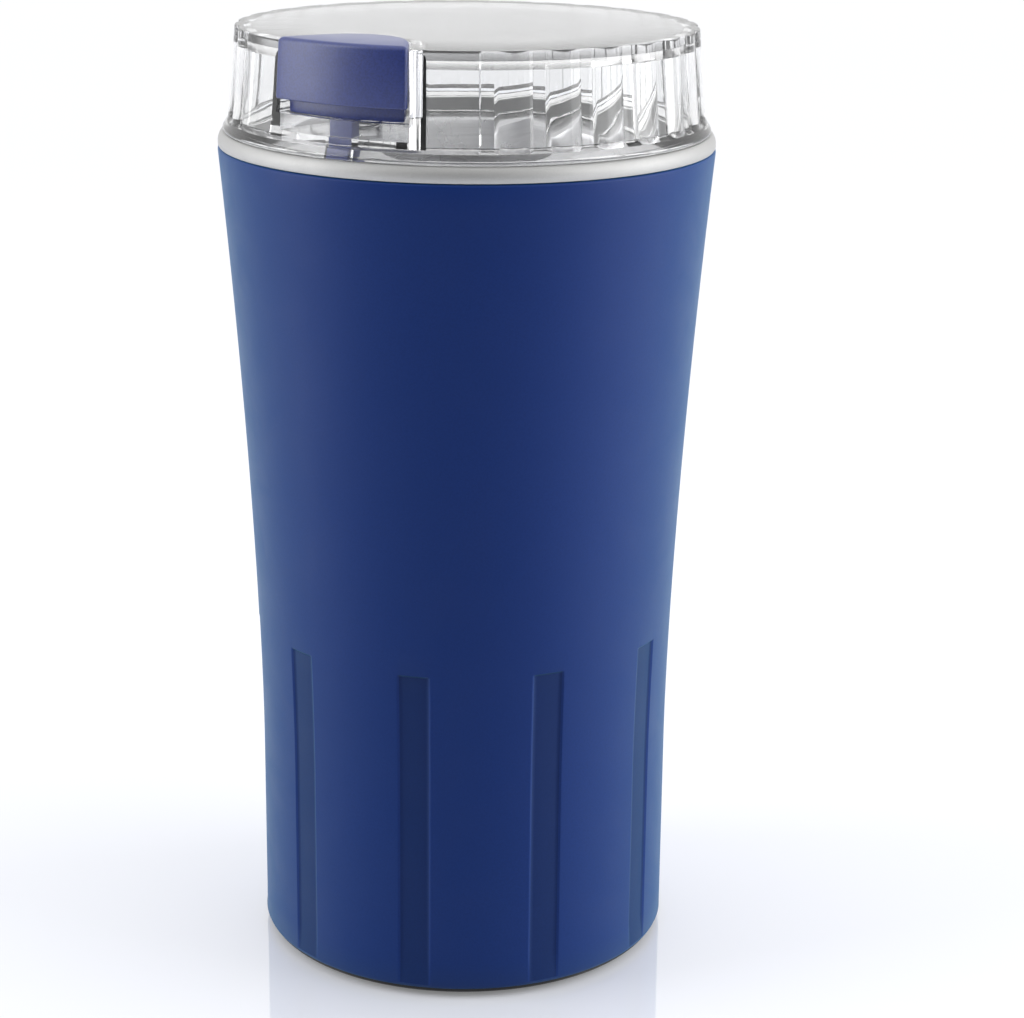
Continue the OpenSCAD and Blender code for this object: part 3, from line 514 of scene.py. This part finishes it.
def makeCasing(spec):
    bottom, top, wall, baseR = spec["bottom"], spec["top"], spec["wall"], spec["baseR"]
    foot, fullDepth = spec["grooveFoot"]
    rise = (top - spec["flareStart"]) / spec["flareSteps"]
    heights = [spec["flareStart"] + i * rise for i in range(spec["flareSteps"])]
    heights = sorted(heights + [spec["grooveTop"], spec["grooveTop"] - spec["grooveSlope"]])
    profile = profileEdge(baseR, bottom, spec["hem"]) + [(baseR, fullDepth)]
    profile += [(casingRadius(z, spec), z) for z in heights]
    profile += profileEdge(spec["rimR"], top, spec["rimEdge"]) + [(spec["rimR"] - wall, top)]
    profile += [(casingRadius(z, spec) - wall, z) for z in spec["innerRings"]] + [(baseR - wall, bottom)]
    casing = turnPiece("casingShell", profile, spec["steps"])

    # Grip grooves: the skin between two lines is drawn in towards the axis
    pitch = 360 / spec["grooves"]
    half = math.degrees(spec["grooveWidth"] / 2 / baseR)
    slopeMiddle = spec["grooveTop"] - spec["grooveSlope"] / 2
    bankTop, bankFoot = (half - inset for inset in spec["bank"])
    for inner, outer, share in ((-1, bankFoot, 1.0), (bankFoot, bankTop, spec["bankShare"])):

        def inGroove(p):
            away = np.abs(p.turn % pitch - pitch / 2)
            skin = (p.r > baseR - wall / 2) & (p.z > foot + 0.1) & (p.z < slopeMiddle)
            return skin & (away >= inner) & (away < outer)

        pick(casing, "VERT", inGroove)
        draw = 1 - share * spec["grooveDepth"] / baseR
        bpy.ops.transform.resize(value=(draw, draw, 1), center_override=(0, 0, 0))
    bpy.ops.object.mode_set(mode="OBJECT")
    soften(casing, spec["softEdge"], 2, spec["softAngle"])

    # Cord inlet with the grommet's flat seat
    front, back = spec["inletY"]
    for radius, start in ((spec["inletR"], front), (spec["seatR"], baseR - spec["seatDepth"])):
        combine(casing, rodPiece("inlet", radius, (0, start, spec["inletZ"]), (0, back, spec["inletZ"])))

    spot = places(casing.data, "FACE")
    depth = casingRadius(spot.z, spec) - spot.r
    least, most = spec["shadeDepth"]
    sunk = np.abs(spot.turn % pitch - pitch / 2) < half - spec["shadeInset"]
    sunk &= (depth > least) & (depth < most) & (spot.z > foot) & (spot.z < slopeMiddle)
    casing.data.attributes.new("sunk", "FLOAT", "FACE").data.foreach_set("value", sunk.astype(np.float32))
    return finishPiece(casing, "root", "outer_casing", materials["casingBlue"], 28)


makeCasing(casingSpec)

ringSpec = {
    "outer": 49.9, "inner": 46.2, "innerEdge": 0.2, "bottom": 168.5, "top": 171.7,
    "spigot": (46.6, 47.5, 165.5),   # inside, outside, lower edge
    "gap": 0.12,                     # left above the casing
    "edge": ((0.5, 0.12), (0.15, 0.2), (0, 0.45), (0, 1.4), (0.1, 1.85), (0.28, 2.3), (0.52, 2.68),
             (0.8, 2.98), (1.05, 3.14), (1.3, 3.2)),   # in and up from the outer lower corner
    "slots": ((0, 13.0), (16, 3.4)), "slotY": (-48.2, -45.0), "slotDepth": 2.0,   # turn and width of each
    "steps": 360,
}


def makeRing(spec):
    low, top, inner = spec["bottom"], spec["top"], spec["inner"]
    spigotIn, spigotOut, foot = spec["spigot"]
    profile = [(inner, low), (spigotIn, low), (spigotIn, foot), (spigotOut, foot)]
    profile += [(spigotOut, low + spec["gap"])] + profileEdge(spec["outer"], low, spec["edge"])
    profile += [(inner + spec["innerEdge"], top), (inner, top - spec["innerEdge"])]
    ring = turnPiece("silverRing", profile, spec["steps"])
    for turn, width in spec["slots"]:
        slot = blockPiece("slot", width, spec["slotY"], (top - spec["slotDepth"], top + 1))
        slot.data.transform(Matrix.Rotation(math.radians(turn), 4, "Z"))
        combine(ring, slot)
    return finishPiece(ring, "root", "rim_ring", materials["ringSilver"])


makeRing(ringSpec)

lidSpec = {
    "skirt": (44.0, 45.8, 168.9), "skirtEdge": 0.2,   # inside, outside, lower edge
    "flangeR": 48.9, "flangeLow": 171.8, "flangeTop": 173.8,
    "flangeFoot": ((0.25, 0), (0.07, 0.07), (0, 0.25)),                     # in and up from its lower face
    "flangeHead": ((0, -1.42), (0.05, -1.25), (0.83, -0.1), (0.9, 0)),      # in and up from its upper face
    "wallLow": 47.9, "wallHigh": 46.2, "wallFoot": 0.6, "wallSteps": 8, "taper": 0.75,
    "top": 192.4, "topRings": (30, 15, 0), "bend": 0.5, "wall": 2.2,
    "innerFoot": (0.6, 0.8), "innerRings": (3, 6, 10, 14.9), "roofCorner": ((0.4, -0.6), (1.2, 0)),
    "valleyPitch": 12.0, "firstValley": 36.0, "valleyHalf": 1.5, "valleyDepth": 0.75, "lobeEdge": 0.5,
    "steps": 720, "innerSteps": 360,
}
buttonSpec = {
    "width": 29.2, "cornerY": -45.0, "lean": 30.0, "backY": -42.0, "low": 181.6, "top": 193.1,
    "faceLow": 47.9, "faceHigh": 47.1, "frontFrom": 46.0,   # radius of its front, low and high, and at least
    "skirtInset": 0.6, "skirtLow": 178.9, "skirtFace": 45.2, "skirtWall": 1.8, "skirtFaceWall": 2.0,
    "wall": 2.1, "springY": -37.5, "postR": 2.4, "postFoot": 0.6,
    "backSteps": 96, "faceSteps": 14, "topRound": 1.0, "edgeRound": 0.35, "draft": 0.3,
}
pocketSpec = {"gap": 0.4, "wall": 3.1, "floor": 174.0, "floorTop": 175.4, "sill": 178.9, "sillR": 45.6,
              "rodWayBack": -38.0, "above": 200.0}   # above is over all of the lid
stemSpec = {"width": 5.0, "front": -44.6, "back": -42.0, "low": 172.9, "high": 187.0,
            "gap": 0.3, "soft": 0.35}


# Corners of the button's plan, grown by a distance: the end of its round back, and its side's end at faceR
def buttonCorners(grow, faceR):
    spec = buttonSpec
    lean = math.radians(spec["lean"])
    backR = spec["width"] / 2 * math.cos(lean) + (spec["cornerY"] - spec["backY"]) * math.sin(lean) + grow
    x, y = backR * math.cos(lean), spec["backY"] + backR * math.sin(lean)
    half = x * math.sin(lean) - y * math.cos(lean)
    run = math.sqrt(half * half - x * x - y * y + faceR * faceR) - half
    return backR, (x, y), (x + run * math.sin(lean), y - run * math.cos(lean))


# The button's plan as a prism: round back, straight sides that spread, and a front round the axis at faceR
def buttonPrism(name, grow, low, high, faceR=60, faceSteps=2):
    deselectAll()
    backY = buttonSpec["backY"]
    backR, bend, corner = buttonCorners(grow, faceR)
    bpy.ops.mesh.primitive_circle_add(vertices=buttonSpec["backSteps"], radius=backR * mm,
                                      location=(0, backY * mm, low * mm))
    bpy.ops.object.transform_apply(location=True, rotation=True, scale=True)
    piece = namePiece(name)
    pick(piece, "VERT", lambda p: p.y < bend[1] - touch)
    bpy.ops.mesh.delete(type="VERT")
    edge = math.atan2(corner[0], -corner[1])
    turns = [edge - 2 * edge * i / faceSteps for i in range(faceSteps + 1)]
    pick(piece, "VERT", lambda p: (p.y < bend[1] + touch) & (p.x > 0))
    here = bend
    for turn in turns:
        there = (faceR * math.sin(turn), -faceR * math.cos(turn))
        bpy.ops.mesh.extrude_vertices_move(
            TRANSFORM_OT_translate={"value": ((there[0] - here[0]) * mm, (there[1] - here[1]) * mm, 0)})
        here = there
    bpy.ops.mesh.select_all(action="SELECT")
    bpy.ops.mesh.edge_face_add()
    bpy.ops.mesh.extrude_region_move(TRANSFORM_OT_translate={"value": (0, 0, (high - low) * mm)})
    cleanMesh(piece)
    return piece


def lidWallRadius(z, spec):
    share = (z - spec["flangeTop"]) / (spec["top"] - spec["bend"] - spec["flangeTop"])
    return spec["wallLow"] + (spec["wallHigh"] - spec["wallLow"]) * max(0, min(1, share)) ** spec["taper"]


# Lobes: flat valleys with a convex rib between each two of them, fading into the rounded top edge
def shapeRibs(body, rings, spec):
    pitch, first, flat = spec["valleyPitch"], spec["firstValley"], spec["valleyHalf"]
    bendZ = spec["top"] - spec["bend"]
    step = 360 / spec["steps"]

    def drawnIn(away):  # how far the skin is drawn in, at this many degrees from a valley's middle
        if away < flat + step / 2:
            return spec["valleyDepth"]
        return spec["lobeEdge"] * ((pitch / 2 - away) / (pitch / 2 - flat - step)) ** 2

    jobs = {}
    for away in (i * step for i in range(round(pitch / 2 / step) + 1)):
        for r, z in rings:
            skin = (r if z <= bendZ else spec["wallHigh"]) - drawnIn(away)
            if skin < r - 0.004:
                column = round(away, 2) if away > flat else 0   # a valley's columns share their factors
                jobs.setdefault((column, round(skin / r, 5)), []).append((away, z))

    for (_, factor), spots in jobs.items():
        columns, heights = {away for away, _ in spots}, {z for _, z in spots}

        def onRib(p):
            turn = np.abs(p.turn)
            away = np.abs((turn - first + pitch / 2) % pitch - pitch / 2)
            across = np.any([np.abs(away - column) < step / 5 for column in columns], axis=0)
            level = np.any([np.abs(p.z - z) < touch for z in heights], axis=0)
            return across & level & (p.r > spec["skirt"][0]) & (turn > first - flat - step / 5)

        pick(body, "VERT", onRib)
        bpy.ops.transform.resize(value=(factor, factor, 1), center_override=(0, 0, 0))
    bpy.ops.object.mode_set(mode="OBJECT")
    print("ribs shaped in", len(jobs), "steps")


def makeLid(spec, pocket, stem):
    inR, outR, foot = spec["skirt"]
    low, shelf, wall, soft = spec["flangeLow"], spec["flangeTop"], spec["wall"], spec["skirtEdge"]
    bendZ = spec["top"] - spec["bend"]
    wallFoot = shelf + spec["wallFoot"]
    wallZ = [wallFoot + (bendZ - wallFoot) * i / spec["wallSteps"] for i in range(spec["wallSteps"] + 1)]
    rings = [(lidWallRadius(z, spec), z) for z in wallZ]
    rings += profileArc((spec["wallHigh"] - spec["bend"], bendZ), spec["bend"], range(10, 91, 10))
    profile = [(0, foot), (outR - soft, foot), (outR, foot + soft), (outR, low)]
    profile += profileEdge(spec["flangeR"], low, spec["flangeFoot"])
    profile += profileEdge(spec["flangeR"], shelf, spec["flangeHead"])
    profile += [(lidWallRadius(shelf, spec), shelf)] + rings + [(r, spec["top"]) for r in spec["topRings"]]
    body = turnPiece("clearLid", profile, spec["steps"], closed=False)
    shapeRibs(body, rings, spec)

    roof = spec["top"] - wall
    leanLow, leanHigh = spec["innerFoot"]
    inside = [(0, foot - 1), (inR, foot - 1), (inR, low + leanLow)]
    inside += [(spec["wallLow"] - wall, shelf + leanHigh)]
    inside += [(lidWallRadius(shelf + up, spec) - wall, shelf + up) for up in spec["innerRings"]]
    inside += profileEdge(spec["wallHigh"] - wall, roof, spec["roofCorner"]) + [(0, roof)]
    hollow = turnPiece("lidHollow", inside, spec["innerSteps"], closed=False)
    gap, floor, floorTop, sill, above = (pocket[key] for key in ("gap", "floor", "floorTop", "sill", "above"))
    combine(hollow, buttonPrism("pocketBlock", gap + pocket["wall"], floor, above))
    wayWidth = stem["width"] + 2 * stem["gap"]
    wayFront, wayBack = stem["front"] - stem["gap"], stem["back"] + stem["gap"]
    combine(body, [
        hollow,
        buttonPrism("pocketUpper", gap, sill, above),
        buttonPrism("pocketLower", gap, floorTop, sill + 1, pocket["sillR"], buttonSpec["faceSteps"]),
        blockPiece("stemWay", wayWidth, (wayFront, wayBack), (floor - 1, floorTop + 1)),
        blockPiece("rodWay", wayWidth, (wayFront, pocket["rodWayBack"]), (foot - 1, floor)),
    ])
    cleanMesh(body)
    return finishPiece(body, "lid", "lid_shell", materials["clearPlastic"], 28)


def roundEdges(piece, width, segments, test):
    pick(piece, "EDGE", test)
    bpy.ops.mesh.bevel(offset=width * mm, segments=segments, profile=0.5)


def makeButton(spec, stem):
    low, top, skirtLow = spec["low"], spec["top"], spec["skirtLow"]
    steps, inset, frontR = spec["faceSteps"], spec["skirtInset"], spec["frontFrom"]
    cornerX = buttonCorners(0, spec["faceLow"])[2][0]
    cap = buttonPrism("pushButton", 0, low, top, spec["faceLow"], steps)
    pick(cap, "VERT", lambda p: p.z > top - touch)   # the block narrows a little towards its top
    bpy.ops.transform.resize(value=(1 - spec["draft"] / cornerX, 1, 1), center_override=(0, 0, 0))
    pick(cap, "VERT", lambda p: (p.z > top - touch) & (p.r > frontR))
    bpy.ops.transform.resize(value=(1, spec["faceHigh"] / spec["faceLow"], 1), center_override=(0, 0, 0))
    roundEdges(cap, spec["topRound"], 5, lambda p: (p.z > top - touch) | (
        (np.abs(p.x) > cornerX - 1) & (p.r > frontR) & (p.z > low + touch)))
    roundEdges(cap, spec["edgeRound"], 3, lambda p: p.z < low + touch)

    skirtX = buttonCorners(-inset, spec["skirtFace"])[2][0]
    skirt = buttonPrism("skirt", -inset, skirtLow, low + 1, spec["skirtFace"], steps)
    roundEdges(skirt, spec["edgeRound"], 3, lambda p: (p.z < skirtLow + touch) | (
        (np.abs(p.x) > skirtX - 0.1) & (p.r > spec["skirtFace"] - 0.2)))

    roof = top - spec["wall"]
    room = buttonPrism("capHollow", -inset - spec["skirtWall"], skirtLow - 1, roof,
                       spec["skirtFace"] - spec["skirtFaceWall"], steps)
    stemRoom = blockPiece("stemRoom", stem["width"], (stem["front"], stem["back"]),
                          (skirtLow - 1, stem["high"]))
    post = rodPiece("springPost", spec["postR"], (0, spec["springY"], skirtLow + spec["postFoot"]),
                    (0, spec["springY"], roof + 0.5), 48)
    combine(cap, skirt, "UNION")
    combine(cap, [room, stemRoom])
    combine(cap, post, "UNION")
    cleanMesh(cap)
    return finishPiece(cap, "button", "button_cap", materials["buttonBlue"])


def makeStem(stem):
    piece = blockPiece("buttonStem", stem["width"], (stem["front"], stem["back"]),
                       (stem["low"], stem["high"]))
    soften(piece, stem["soft"], 3, 40)
    return finishPiece(piece, "button", "button_stem", materials["buttonBlue"])


makeLid(lidSpec, pocketSpec, stemSpec)
makeButton(buttonSpec, stemSpec)
makeStem(stemSpec)

bowlSpec = {
    "innerR": 37.0, "floor": 115.4, "wall": 0.6, "bend": 9.0, "sealR": 6.1,
    "lipR": 46.0, "lipLow": 167.8, "lipEdge": 0.15, "top": 168.5,
    "mouth": ((-1.1, 0), (-0.5, -0.12), (-0.12, -0.5), (0, -1.1)),   # in and up from the mouth's corner
    "rodHoleR": 2.0, "rodY": -40.9, "steps": 256,
}


def makeBowl(spec):
    inner, floor, wall, bend, top = (spec[key] for key in ("innerR", "floor", "wall", "bend", "top"))
    lipR, lipLow, lipEdge, sealR = (spec[key] for key in ("lipR", "lipLow", "lipEdge", "sealR"))
    centre = (inner - bend, floor + bend)
    profile = [(sealR, floor - wall)] + profileArc(centre, bend + wall, range(-90, 1, 6))
    profile += [(inner + wall, lipLow), (lipR, lipLow), (lipR, top - lipEdge), (lipR - lipEdge, top)]
    profile += profileEdge(inner, top, spec["mouth"])
    profile += profileArc(centre, bend, range(0, -91, -6)) + [(sealR, floor)]
    bowl = turnPiece("steelBowl", profile, spec["steps"])
    rodY = spec["rodY"]
    combine(bowl, rodPiece("rodHole", spec["rodHoleR"], (0, rodY, lipLow - 1), (0, rodY, top + 1), 48))
    return finishPiece(bowl, "root", "bowl", materials["bowlSteel"])


makeBowl(bowlSpec)

# Coil springs, wound with their end turns lying closed
springSpecs = {
    "rodCoil": {"node": "rod_spring", "body": "root", "joint": "rod_press", "y": -40.9, "low": 152.0,
                "high": 160.98, "radius": 1.85, "wire": 0.2, "turns": 6, "sides": 10, "steps": 36},
    "buttonCoil": {"node": "button_spring", "body": "lid", "joint": "button_press", "y": -37.5, "low": 175.42,
                   "high": 190.98, "radius": 3.4, "wire": 0.35, "turns": 5, "sides": 12, "steps": 48},
}


def makeSpring(name, spec):
    wire, low, length = spec["wire"], spec["low"], spec["high"] - spec["low"]
    closed = wire * 2.02   # the end turns lie against their neighbours
    loose = (length - 2 * wire - 2 * closed) / (spec["turns"] - 2)
    parts = []
    base = low + wire
    for turns, pitch in ((1, closed), (spec["turns"] - 2, loose), (1, closed)):
        deselectAll()
        bpy.ops.mesh.primitive_circle_add(vertices=spec["sides"], radius=wire * mm,
                                          rotation=(math.pi / 2, 0, 0),
                                          location=(spec["radius"] * mm, 0, base * mm))
        bpy.ops.object.transform_apply(location=True, rotation=True, scale=True)
        part = namePiece(name)
        step = part.modifiers.new("coil", "SCREW")
        step.axis = "Z"
        step.angle = 2 * math.pi
        step.iterations = turns
        step.screw_offset = pitch * mm
        step.steps = step.render_steps = spec["steps"]
        bpy.ops.object.modifier_apply(modifier=step.name)
        parts.append(part)
        base += turns * pitch
    for part in parts:
        part.select_set(True)
    bpy.context.view_layer.objects.active = parts[0]
    bpy.ops.object.join()
    coil = namePiece(name)
    bpy.ops.object.mode_set(mode="EDIT")
    bpy.ops.mesh.select_all(action="SELECT")
    bpy.ops.mesh.remove_doubles(threshold=0.002 * mm)
    bpy.ops.mesh.fill_holes(sides=spec["sides"])
    bpy.ops.mesh.select_all(action="SELECT")
    bpy.ops.transform.translate(value=(0, spec["y"] * mm, 0))
    cleanMesh(coil)
    finishPiece(coil, spec["body"], spec["node"], materials["zincSteel"], 60)
    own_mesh(coil)


for springName, springSpec in springSpecs.items():
    makeSpring(springName, springSpec)

# Finishes of the solids that are carried over
nodeFinish = {
    "base_cover": "blackPlastic", "foot_front_left": "blackRubber", "foot_front_right": "blackRubber",
    "foot_rear_left": "blackRubber", "foot_rear_right": "blackRubber", "base_screws": "zincSteel",
    "bowl_carrier": "framePlastic", "shaft_seal": "whitePlastic", "cord_grommet": "blackRubber",
    "cord_clamp": "blackPlastic", "clamp_screws": "zincSteel", "terminal_block": "whitePlastic",
    "suppressor": "resinYellow", "stator_core": "coreIron", "field_coil_left": "windingCopper",
    "field_coil_right": "windingCopper", "upper_bracket": "bracketAlloy", "lower_bracket": "bracketAlloy",
    "upper_bearing": "bearingBronze", "lower_bearing": "bearingBronze", "motor_mounts": "blackRubber",
    "mount_screws": "zincSteel", "bracket_screws": "zincSteel", "brush_holder_left": "bearingBronze",
    "brush_holder_right": "bearingBronze", "carbon_brush_left": "carbonBlock",
    "carbon_brush_right": "carbonBlock", "brush_spring_left": "zincSteel", "brush_spring_right": "zincSteel",
    "micro_switch": "blackPlastic", "switch_screws": "zincSteel", "thermal_cutout": "whitePlastic",
    "switch_leads": "leadRed", "motor_leads": "leadBlue", "switch_rod": "buttonBlue",
    "switch_plunger": "leadRed", "drive_shaft": "zincSteel", "armature_core": "coreIron",
    "armature_windings": "windingCopper", "commutator": "commutatorCopper", "cooling_fan": "blackPlastic",
    "blade_hub": "zincSteel", "blade": "bladeSteel", "blade_nut": "zincSteel",
}
for name, finish in nodeFinish.items():
    nodes[name].data.materials.clear()
    nodes[name].data.materials.append(materials[finish])
print("finished", len(nodeFinish), "carried-over solids")

# Floor, world and lamps. The floor bounces the front share of its colour on the camera's side and the
# around share elsewhere; the world's strengths go the same way, with one of their own for reflections.
floorSpec = {
    "size": 8000, "colour": (0.82, 0.84, 0.9), "lift": 0.17, "rough": 0.04, "ior": 2.4,
    "front": 0.12, "around": 0.6, "frontFrom": 0.0, "frontTo": 0.85,
}
worldSpec = {
    "front": 0.02, "frontShine": 0.11, "around": 0.95, "frontFrom": 0.3, "frontTo": 0.85, "shown": 1.0,
}
frontTurn = -9.0   # the middle of the dim side lies a little to the camera's left
lampSpecs = (      # side, towards the camera, height, width and length, strength
    {"name": "leftPanel", "side": -950, "near": 150, "height": 420, "size": (520, 1100), "strength": 2.6},
    {"name": "rightPanel", "side": 950, "near": 120, "height": 420, "size": (800, 1100), "strength": 2.2},
)
aimHeight = 100.0


def cameraHeading():
    turn = math.radians(cameraSpec["azimuth"])
    return Vector((math.sin(turn), -math.cos(turn), 0)), Vector((math.cos(turn), math.sin(turn), 0))


def frontShare(tree, heading, spec, front):  # front on the camera's side, and the around value elsewhere
    middle = Matrix.Rotation(math.radians(frontTurn), 3, "Z") @ cameraHeading()[0]
    facing = addNode(tree, "VectorMath", {0: heading, 1: middle}, operation="DOT_PRODUCT").outputs["Value"]
    blend = {"Value": facing, "From Min": spec["frontFrom"], "From Max": spec["frontTo"],
             "To Min": spec["around"], "To Max": front}
    return addNode(tree, "MapRange", blend, interpolation_type="SMOOTHSTEP").outputs[0]


def seenBy(tree, path, kinds):  # 1 for camera rays and rays of these kinds
    seen = path["Is Camera Ray"]
    for kind in kinds:
        seen = addMath(tree, "MAXIMUM", seen, path["Is " + kind + " Ray"])
    return seen


def makeFloor(spec):
    deselectAll()
    bpy.ops.mesh.primitive_plane_add(size=spec["size"] * mm)
    floor = namePiece("studioFloor")
    made = bpy.data.materials.new("paleFloor")
    made.use_nodes = True
    tree = made.node_tree
    shader = tree.nodes["Principled BSDF"]
    shader.inputs["Roughness"].default_value = spec["rough"]
    shader.inputs["IOR"].default_value = spec["ior"]
    path = addNode(tree, "LightPath").outputs
    spot = addNode(tree, "TexCoord").outputs["Object"]
    heading = addNode(tree, "VectorMath", {0: spot}, operation="NORMALIZE").outputs[0]
    share = frontShare(tree, heading, spec, spec["front"])
    level = addNode(tree, "Mix", {"Factor": path["Is Diffuse Ray"], "A": 1.0, "B": share}).outputs[0]
    shade = addNode(tree, "HueSaturation", {"Color": (*spec["colour"], 1), "Value": level})
    tree.links.new(shade.outputs[0], shader.inputs["Base Color"])
    lift = addMath(tree, "MULTIPLY", seenBy(tree, path, ("Transmission", "Glossy")), spec["lift"])
    shader.inputs["Emission Color"].default_value = (1, 1, 1, 1)
    tree.links.new(lift, shader.inputs["Emission Strength"])
    floor.data.materials.append(made)


def makeWorld(spec):
    world = bpy.data.worlds.new("softStudio")
    bpy.context.scene.world = world
    world.use_nodes = True
    tree = world.node_tree
    sky = tree.nodes["Background"]
    path = addNode(tree, "LightPath").outputs
    heading = addNode(tree, "TexCoord").outputs["Generated"]
    shine = path["Is Glossy Ray"]
    front = addNode(tree, "Mix", {"Factor": shine, "A": spec["front"], "B": spec["frontShine"]}).outputs[0]
    lit = frontShare(tree, heading, spec, front)
    seen = seenBy(tree, path, ("Transmission",))
    strength = addNode(tree, "Mix", {"Factor": seen, "A": lit, "B": spec["shown"]})
    tree.links.new(strength.outputs[0], sky.inputs["Strength"])
    sky.inputs["Color"].default_value = (1, 1, 1, 1)


def placeLamp(spec):
    toCamera, toRight = cameraHeading()
    lamp = bpy.data.lights.new(spec["name"], "AREA")
    lamp.shape = "RECTANGLE"
    lamp.size, lamp.size_y = (side * mm for side in spec["size"])
    lamp.energy = spec["strength"] * math.pi * lamp.size * lamp.size_y
    holder = bpy.data.objects.new(spec["name"], lamp)
    bpy.context.scene.collection.objects.link(holder)
    holder.location = (toRight * spec["side"] + toCamera * spec["near"] + Vector((0, 0, spec["height"]))) * mm
    aim = Vector((0, 0, aimHeight * mm)) - holder.location
    holder.rotation_euler = aim.to_track_quat("-Z", "Y").to_euler()


makeFloor(floorSpec)
makeWorld(worldSpec)
for lampSpec in lampSpecs:
    placeLamp(lampSpec)
bpy.context.scene.view_settings.view_transform = "Standard"
print("stage lit")

bpy.context.view_layer.update()
